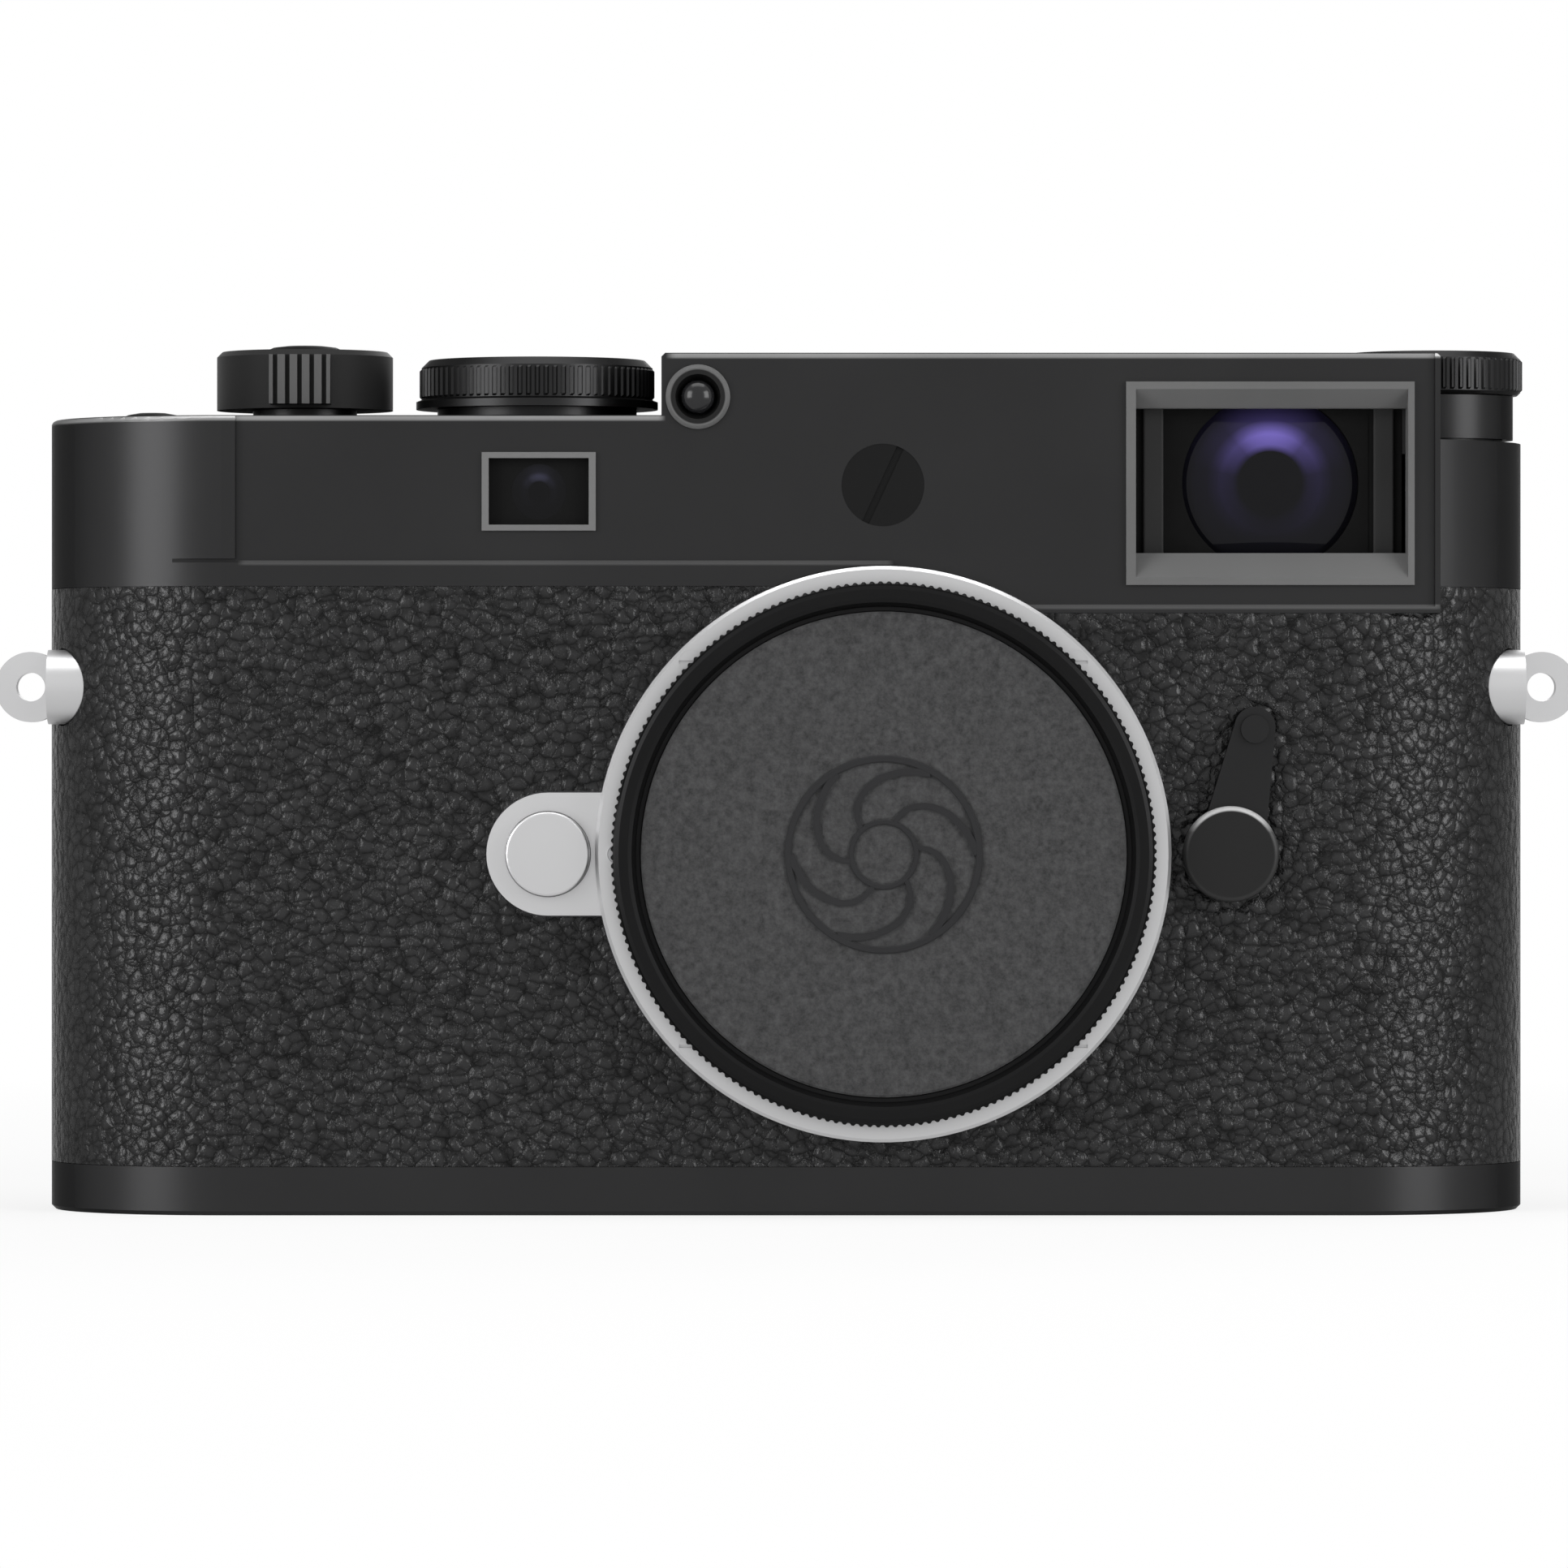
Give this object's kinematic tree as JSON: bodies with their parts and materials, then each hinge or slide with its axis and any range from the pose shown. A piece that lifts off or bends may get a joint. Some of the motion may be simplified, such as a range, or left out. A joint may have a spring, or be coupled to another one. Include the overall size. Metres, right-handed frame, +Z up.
{
  "type": "rangefinder camera",
  "caption": "Compact rangefinder camera body with round ends, a raised finder housing, top dials, a bayonet lens mount under a body cap and a screen on the back.",
  "frame": {"origin": "mouth of the tripod socket, at the middle of the flat base", "axes": "+Z up through the top cover, +X to the right as the lens side is faced, -Y out of the front along the lens axis"},
  "size_m": [0.1484, 0.0427, 0.0814],
  "materials": {
    "satin_paint": "satin black paint",
    "black_trim": "black anodised",
    "window_frame": "grey bevelled frame",
    "covering": "pebbled black covering",
    "chassis": "cast and machined light alloy",
    "bright_metal": "satin chromed",
    "steel": "plain steel",
    "cap_plastic": "fine-grained black plastic",
    "key_plastic": "black key",
    "inner_black": "matt black light-tight alloy",
    "coated_glass": "coated lens glass",
    "clear_glass": "polished glass",
    "screen_glass": "dark cover glass",
    "screen": "display panel",
    "board": "printed circuit board",
    "sensor": "image sensor",
    "battery_case": "battery case",
    "gold_contact": "gold-plated contact"
  },
  "bodies": {
    "camera": {"body_shell": "chassis", "top_cover": "satin_paint", "bottom_plate": "satin_paint", "leather_covering": "covering", "rear_panel": "satin_paint", "mount_ring": "bright_metal", "bayonet_spring": "steel", "mount_screws": "steel", "release_bush": "black_trim", "iso_collar": "black_trim", "control_board": "board", "hot_shoe": "black_trim", "hot_shoe_contacts": "gold_contact", "finder_bezel": "window_frame", "finder_glass": "coated_glass", "finder_base": "inner_black", "finder_prisms": "clear_glass", "range_bezel": "black_trim", "range_glass": "coated_glass", "meter_bezel": "black_trim", "meter_lens": "clear_glass", "front_screw": "satin_paint", "eyepiece_ring": "black_trim", "eyepiece_lens": "clear_glass", "lcd_glass": "screen_glass", "lcd_panel": "screen", "main_board": "board", "battery_bay": "inner_black", "tripod_socket": "steel", "usb_port": "steel", "base_screws": "steel", "strap_lug_left": "bright_metal", "strap_lug_right": "bright_metal", "light_baffle": "inner_black", "shutter_frame": "inner_black", "image_sensor": "sensor"},
    "cap": {"body_cap": "cap_plastic"},
    "lens_release": {"release_button": "bright_metal", "lock_pin": "steel"},
    "selector": {"frame_lever": "black_trim", "lever_cap": "black_trim"},
    "shutter_key": {"shutter_button": "black_trim"},
    "switch": {"power_switch": "black_trim"},
    "speed_dial": {"shutter_dial": "black_trim"},
    "function_key": {"function_button": "black_trim"},
    "iso_post": {"iso_stem": "steel"},
    "iso_knob": {"iso_dial": "black_trim"},
    "wheel": {"thumbwheel": "black_trim"},
    "play_key": {"play_button": "key_plastic"},
    "fn_key": {"fn_button": "key_plastic"},
    "menu_key": {"menu_button": "key_plastic"},
    "rocker": {"dpad_ring": "key_plastic"},
    "centre_key": {"dpad_button": "key_plastic"},
    "power_cell": {"battery": "battery_case"},
    "latch": {"battery_lever": "black_trim"},
    "blade_low": {"shutter_blade_1": "inner_black"},
    "blade_mid": {"shutter_blade_2": "inner_black"},
    "blade_top": {"shutter_blade_3": "inner_black"},
    "coupling_arm": {"range_arm": "steel"},
    "coupling_roller": {"range_roller": "steel"}
  },
  "joints": [
    {"name": "cap_pull", "type": "slide", "parent": "camera", "child": "cap", "axis": [0, -1, 0], "range_m": [0, 0.03]},
    {"name": "lens_release_press", "type": "slide", "parent": "camera", "child": "lens_release", "axis": [0, 1, 0], "range_m": [0, 0.0012], "stiffness_N_per_m": 1200},
    {"name": "frame_selector", "type": "hinge", "parent": "camera", "child": "selector", "pos_m": [0.0412, -0.017, 0.0336], "axis": [0, 1, 0], "range_deg": [-20, 20], "stiffness_Nm_per_rad": 0.02},
    {"name": "shutter_press", "type": "slide", "parent": "camera", "child": "shutter_key", "axis": [0, 0, -1], "range_m": [0, 0.0012], "stiffness_N_per_m": 900},
    {"name": "power_turn", "type": "hinge", "parent": "camera", "child": "switch", "pos_m": [-0.0454, -0.003, 0.078], "axis": [0, 0, 1], "range_deg": [0, 30]},
    {"name": "speed_dial_turn", "type": "hinge", "parent": "camera", "child": "speed_dial", "pos_m": [-0.0235, -0.003, 0.077], "axis": [0, 0, 1], "continuous": true},
    {"name": "function_press", "type": "slide", "parent": "camera", "child": "function_key", "axis": [0, 0, -1], "range_m": [0, 0.0005], "stiffness_N_per_m": 800},
    {"name": "iso_lift", "type": "slide", "parent": "camera", "child": "iso_post", "axis": [0, 0, 1], "range_m": [0, 0.0018], "stiffness_N_per_m": 400, "springref_m": -0.0005},
    {"name": "iso_turn", "type": "hinge", "parent": "iso_post", "child": "iso_knob", "pos_m": [0.061, 0, 0.0785], "axis": [0, 0, 1], "continuous": true},
    {"name": "thumbwheel_turn", "type": "hinge", "parent": "camera", "child": "wheel", "pos_m": [-0.05, 0.0122, 0.0675], "axis": [0, 0, 1], "continuous": true},
    {"name": "play_press", "type": "slide", "parent": "camera", "child": "play_key", "axis": [0, -1, 0], "range_m": [0, 0.0004], "stiffness_N_per_m": 800},
    {"name": "fn_press", "type": "slide", "parent": "camera", "child": "fn_key", "axis": [0, -1, 0], "range_m": [0, 0.0004], "stiffness_N_per_m": 800},
    {"name": "menu_press", "type": "slide", "parent": "camera", "child": "menu_key", "axis": [0, -1, 0], "range_m": [0, 0.0004], "stiffness_N_per_m": 800},
    {"name": "rocker_tilt", "type": "hinge", "parent": "camera", "child": "rocker", "pos_m": [-0.039, 0.0152, 0.0282], "axis": [1, 0, 0], "range_deg": [-3, 3], "stiffness_Nm_per_rad": 0.15},
    {"name": "centre_press", "type": "slide", "parent": "camera", "child": "centre_key", "axis": [0, -1, 0], "range_m": [0, 0.0005], "stiffness_N_per_m": 800},
    {"name": "battery_draw", "type": "slide", "parent": "camera", "child": "power_cell", "axis": [0, 0, -1], "range_m": [0, 0.06]},
    {"name": "battery_latch_turn", "type": "hinge", "parent": "camera", "child": "latch", "pos_m": [-0.0154, 0, 0.001], "axis": [0, 0, -1], "range_deg": [0, 35]},
    {"name": "blade_top_drop", "type": "slide", "parent": "camera", "child": "blade_top", "axis": [0, 0, -1], "range_m": [0, 0.027], "stiffness_N_per_m": 10, "springref_m": -0.001},
    {"name": "blade_mid_drop", "type": "slide", "parent": "camera", "child": "blade_mid", "axis": [0, 0, -1], "range_m": [0, 0.01801]},
    {"name": "blade_low_drop", "type": "slide", "parent": "camera", "child": "blade_low", "axis": [0, 0, -1], "range_m": [0, 0.00901]},
    {"name": "coupling_rock", "type": "hinge", "parent": "camera", "child": "coupling_arm", "pos_m": [0.009, -0.01, 0.062], "axis": [1, 0, 0], "range_deg": [0, 8], "stiffness_Nm_per_rad": 0.02, "springref_deg": -2.86},
    {"name": "coupling_roll", "type": "hinge", "parent": "coupling_arm", "child": "coupling_roller", "pos_m": [0.009, -0.0126, 0.0513], "axis": [0, 0, 1], "continuous": true}
  ],
  "couplings": [
    {"joint": "blade_mid_drop", "follows": "blade_top_drop", "ratio": 0.66666},
    {"joint": "blade_low_drop", "follows": "blade_top_drop", "ratio": 0.33333}
  ]
}
